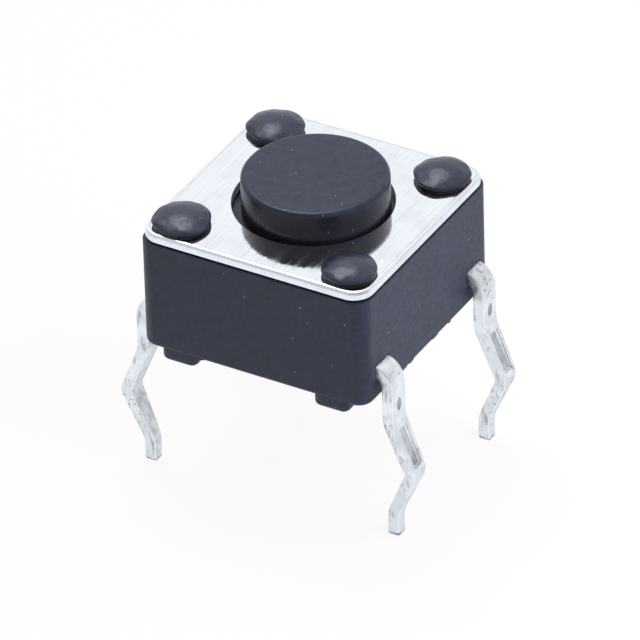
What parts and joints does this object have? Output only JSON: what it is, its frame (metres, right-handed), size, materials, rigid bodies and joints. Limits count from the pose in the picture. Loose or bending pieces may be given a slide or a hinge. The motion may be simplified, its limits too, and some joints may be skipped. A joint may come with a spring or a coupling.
{
  "type": "tactile push button switch",
  "caption": "Square tactile push button switch with a round button, a metal cover plate held by staked posts, and kinked snap-in legs for a circuit board.",
  "frame": {"origin": "centre of the leg pattern, at the circuit board's upper face, where the feet stand", "axes": "+Z out of the board, the way the button faces; X along the two leg strips, from one leg of a connected pair to the other; Y across them"},
  "size_m": [0.0082, 0.0062, 0.0081],
  "materials": {
    "housing_resin": "fine matt moulded charcoal resin",
    "button_resin": "fine matt moulded charcoal resin with a few pale specks",
    "plate_metal": "bright, brushed along Y",
    "spring_metal": "rolled stainless spring sheet",
    "tinned_metal": "tin plated, bright satin, with press marks and bare cut tips"
  },
  "bodies": {
    "housing": {"base_housing": "housing_resin", "cover_plate": "plate_metal", "snap_dome": "spring_metal", "terminal_front": "tinned_metal", "terminal_back": "tinned_metal"},
    "button": {"plunger": "button_resin"}
  },
  "joints": [
    {"name": "button_press", "type": "slide", "parent": "housing", "child": "button", "axis": [0, 0, -1], "range_m": [0, 0.00025], "stiffness_N_per_m": 6400, "deforming": ["snap_dome"]}
  ]
}
